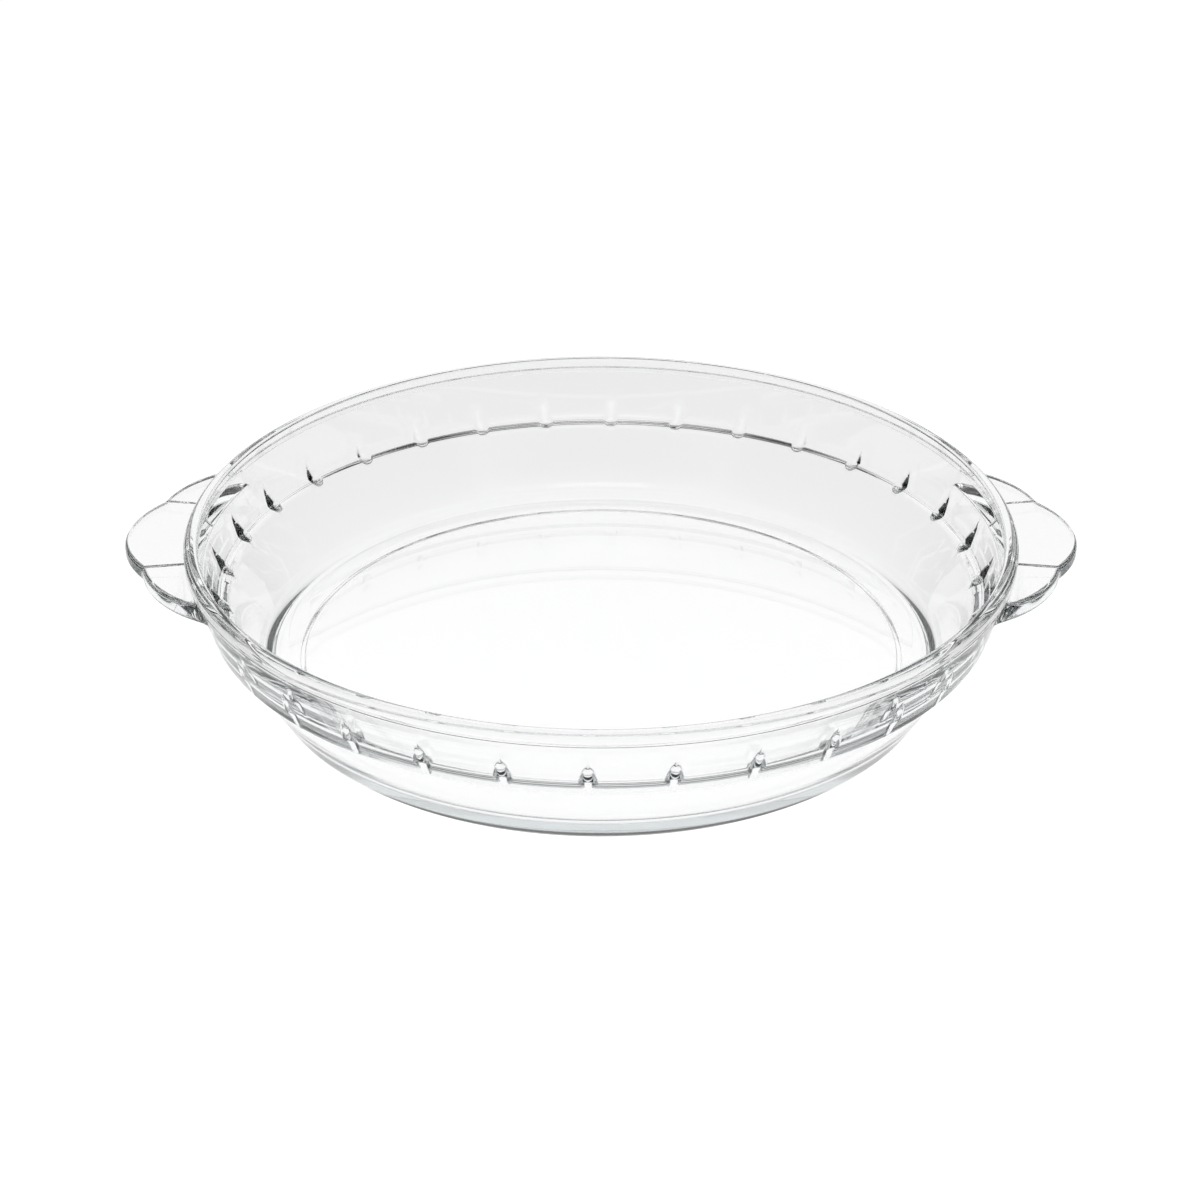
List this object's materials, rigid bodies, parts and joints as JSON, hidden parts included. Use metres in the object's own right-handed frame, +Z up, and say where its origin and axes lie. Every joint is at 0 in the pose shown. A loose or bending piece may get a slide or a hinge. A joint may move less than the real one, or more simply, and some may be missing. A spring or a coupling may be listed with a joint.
{
  "type": "pie dish",
  "caption": "Deep round pressed clear glass pie dish with a stepped wall, a ring of small nubs on the inner ledge, a rounded lip and two scalloped tab handles",
  "frame": {"origin": "centre of the footprint, on the plane that the dish stands on", "axes": "+Z up; +X through the middle of one handle; +Y across the handles"},
  "size_m": [0.2774, 0.2414, 0.0456],
  "materials": {
    "clear_glass": "smooth fire-polished clear glass"
  },
  "bodies": {
    "root": {"glass_dish": "clear_glass"}
  },
  "joints": []
}
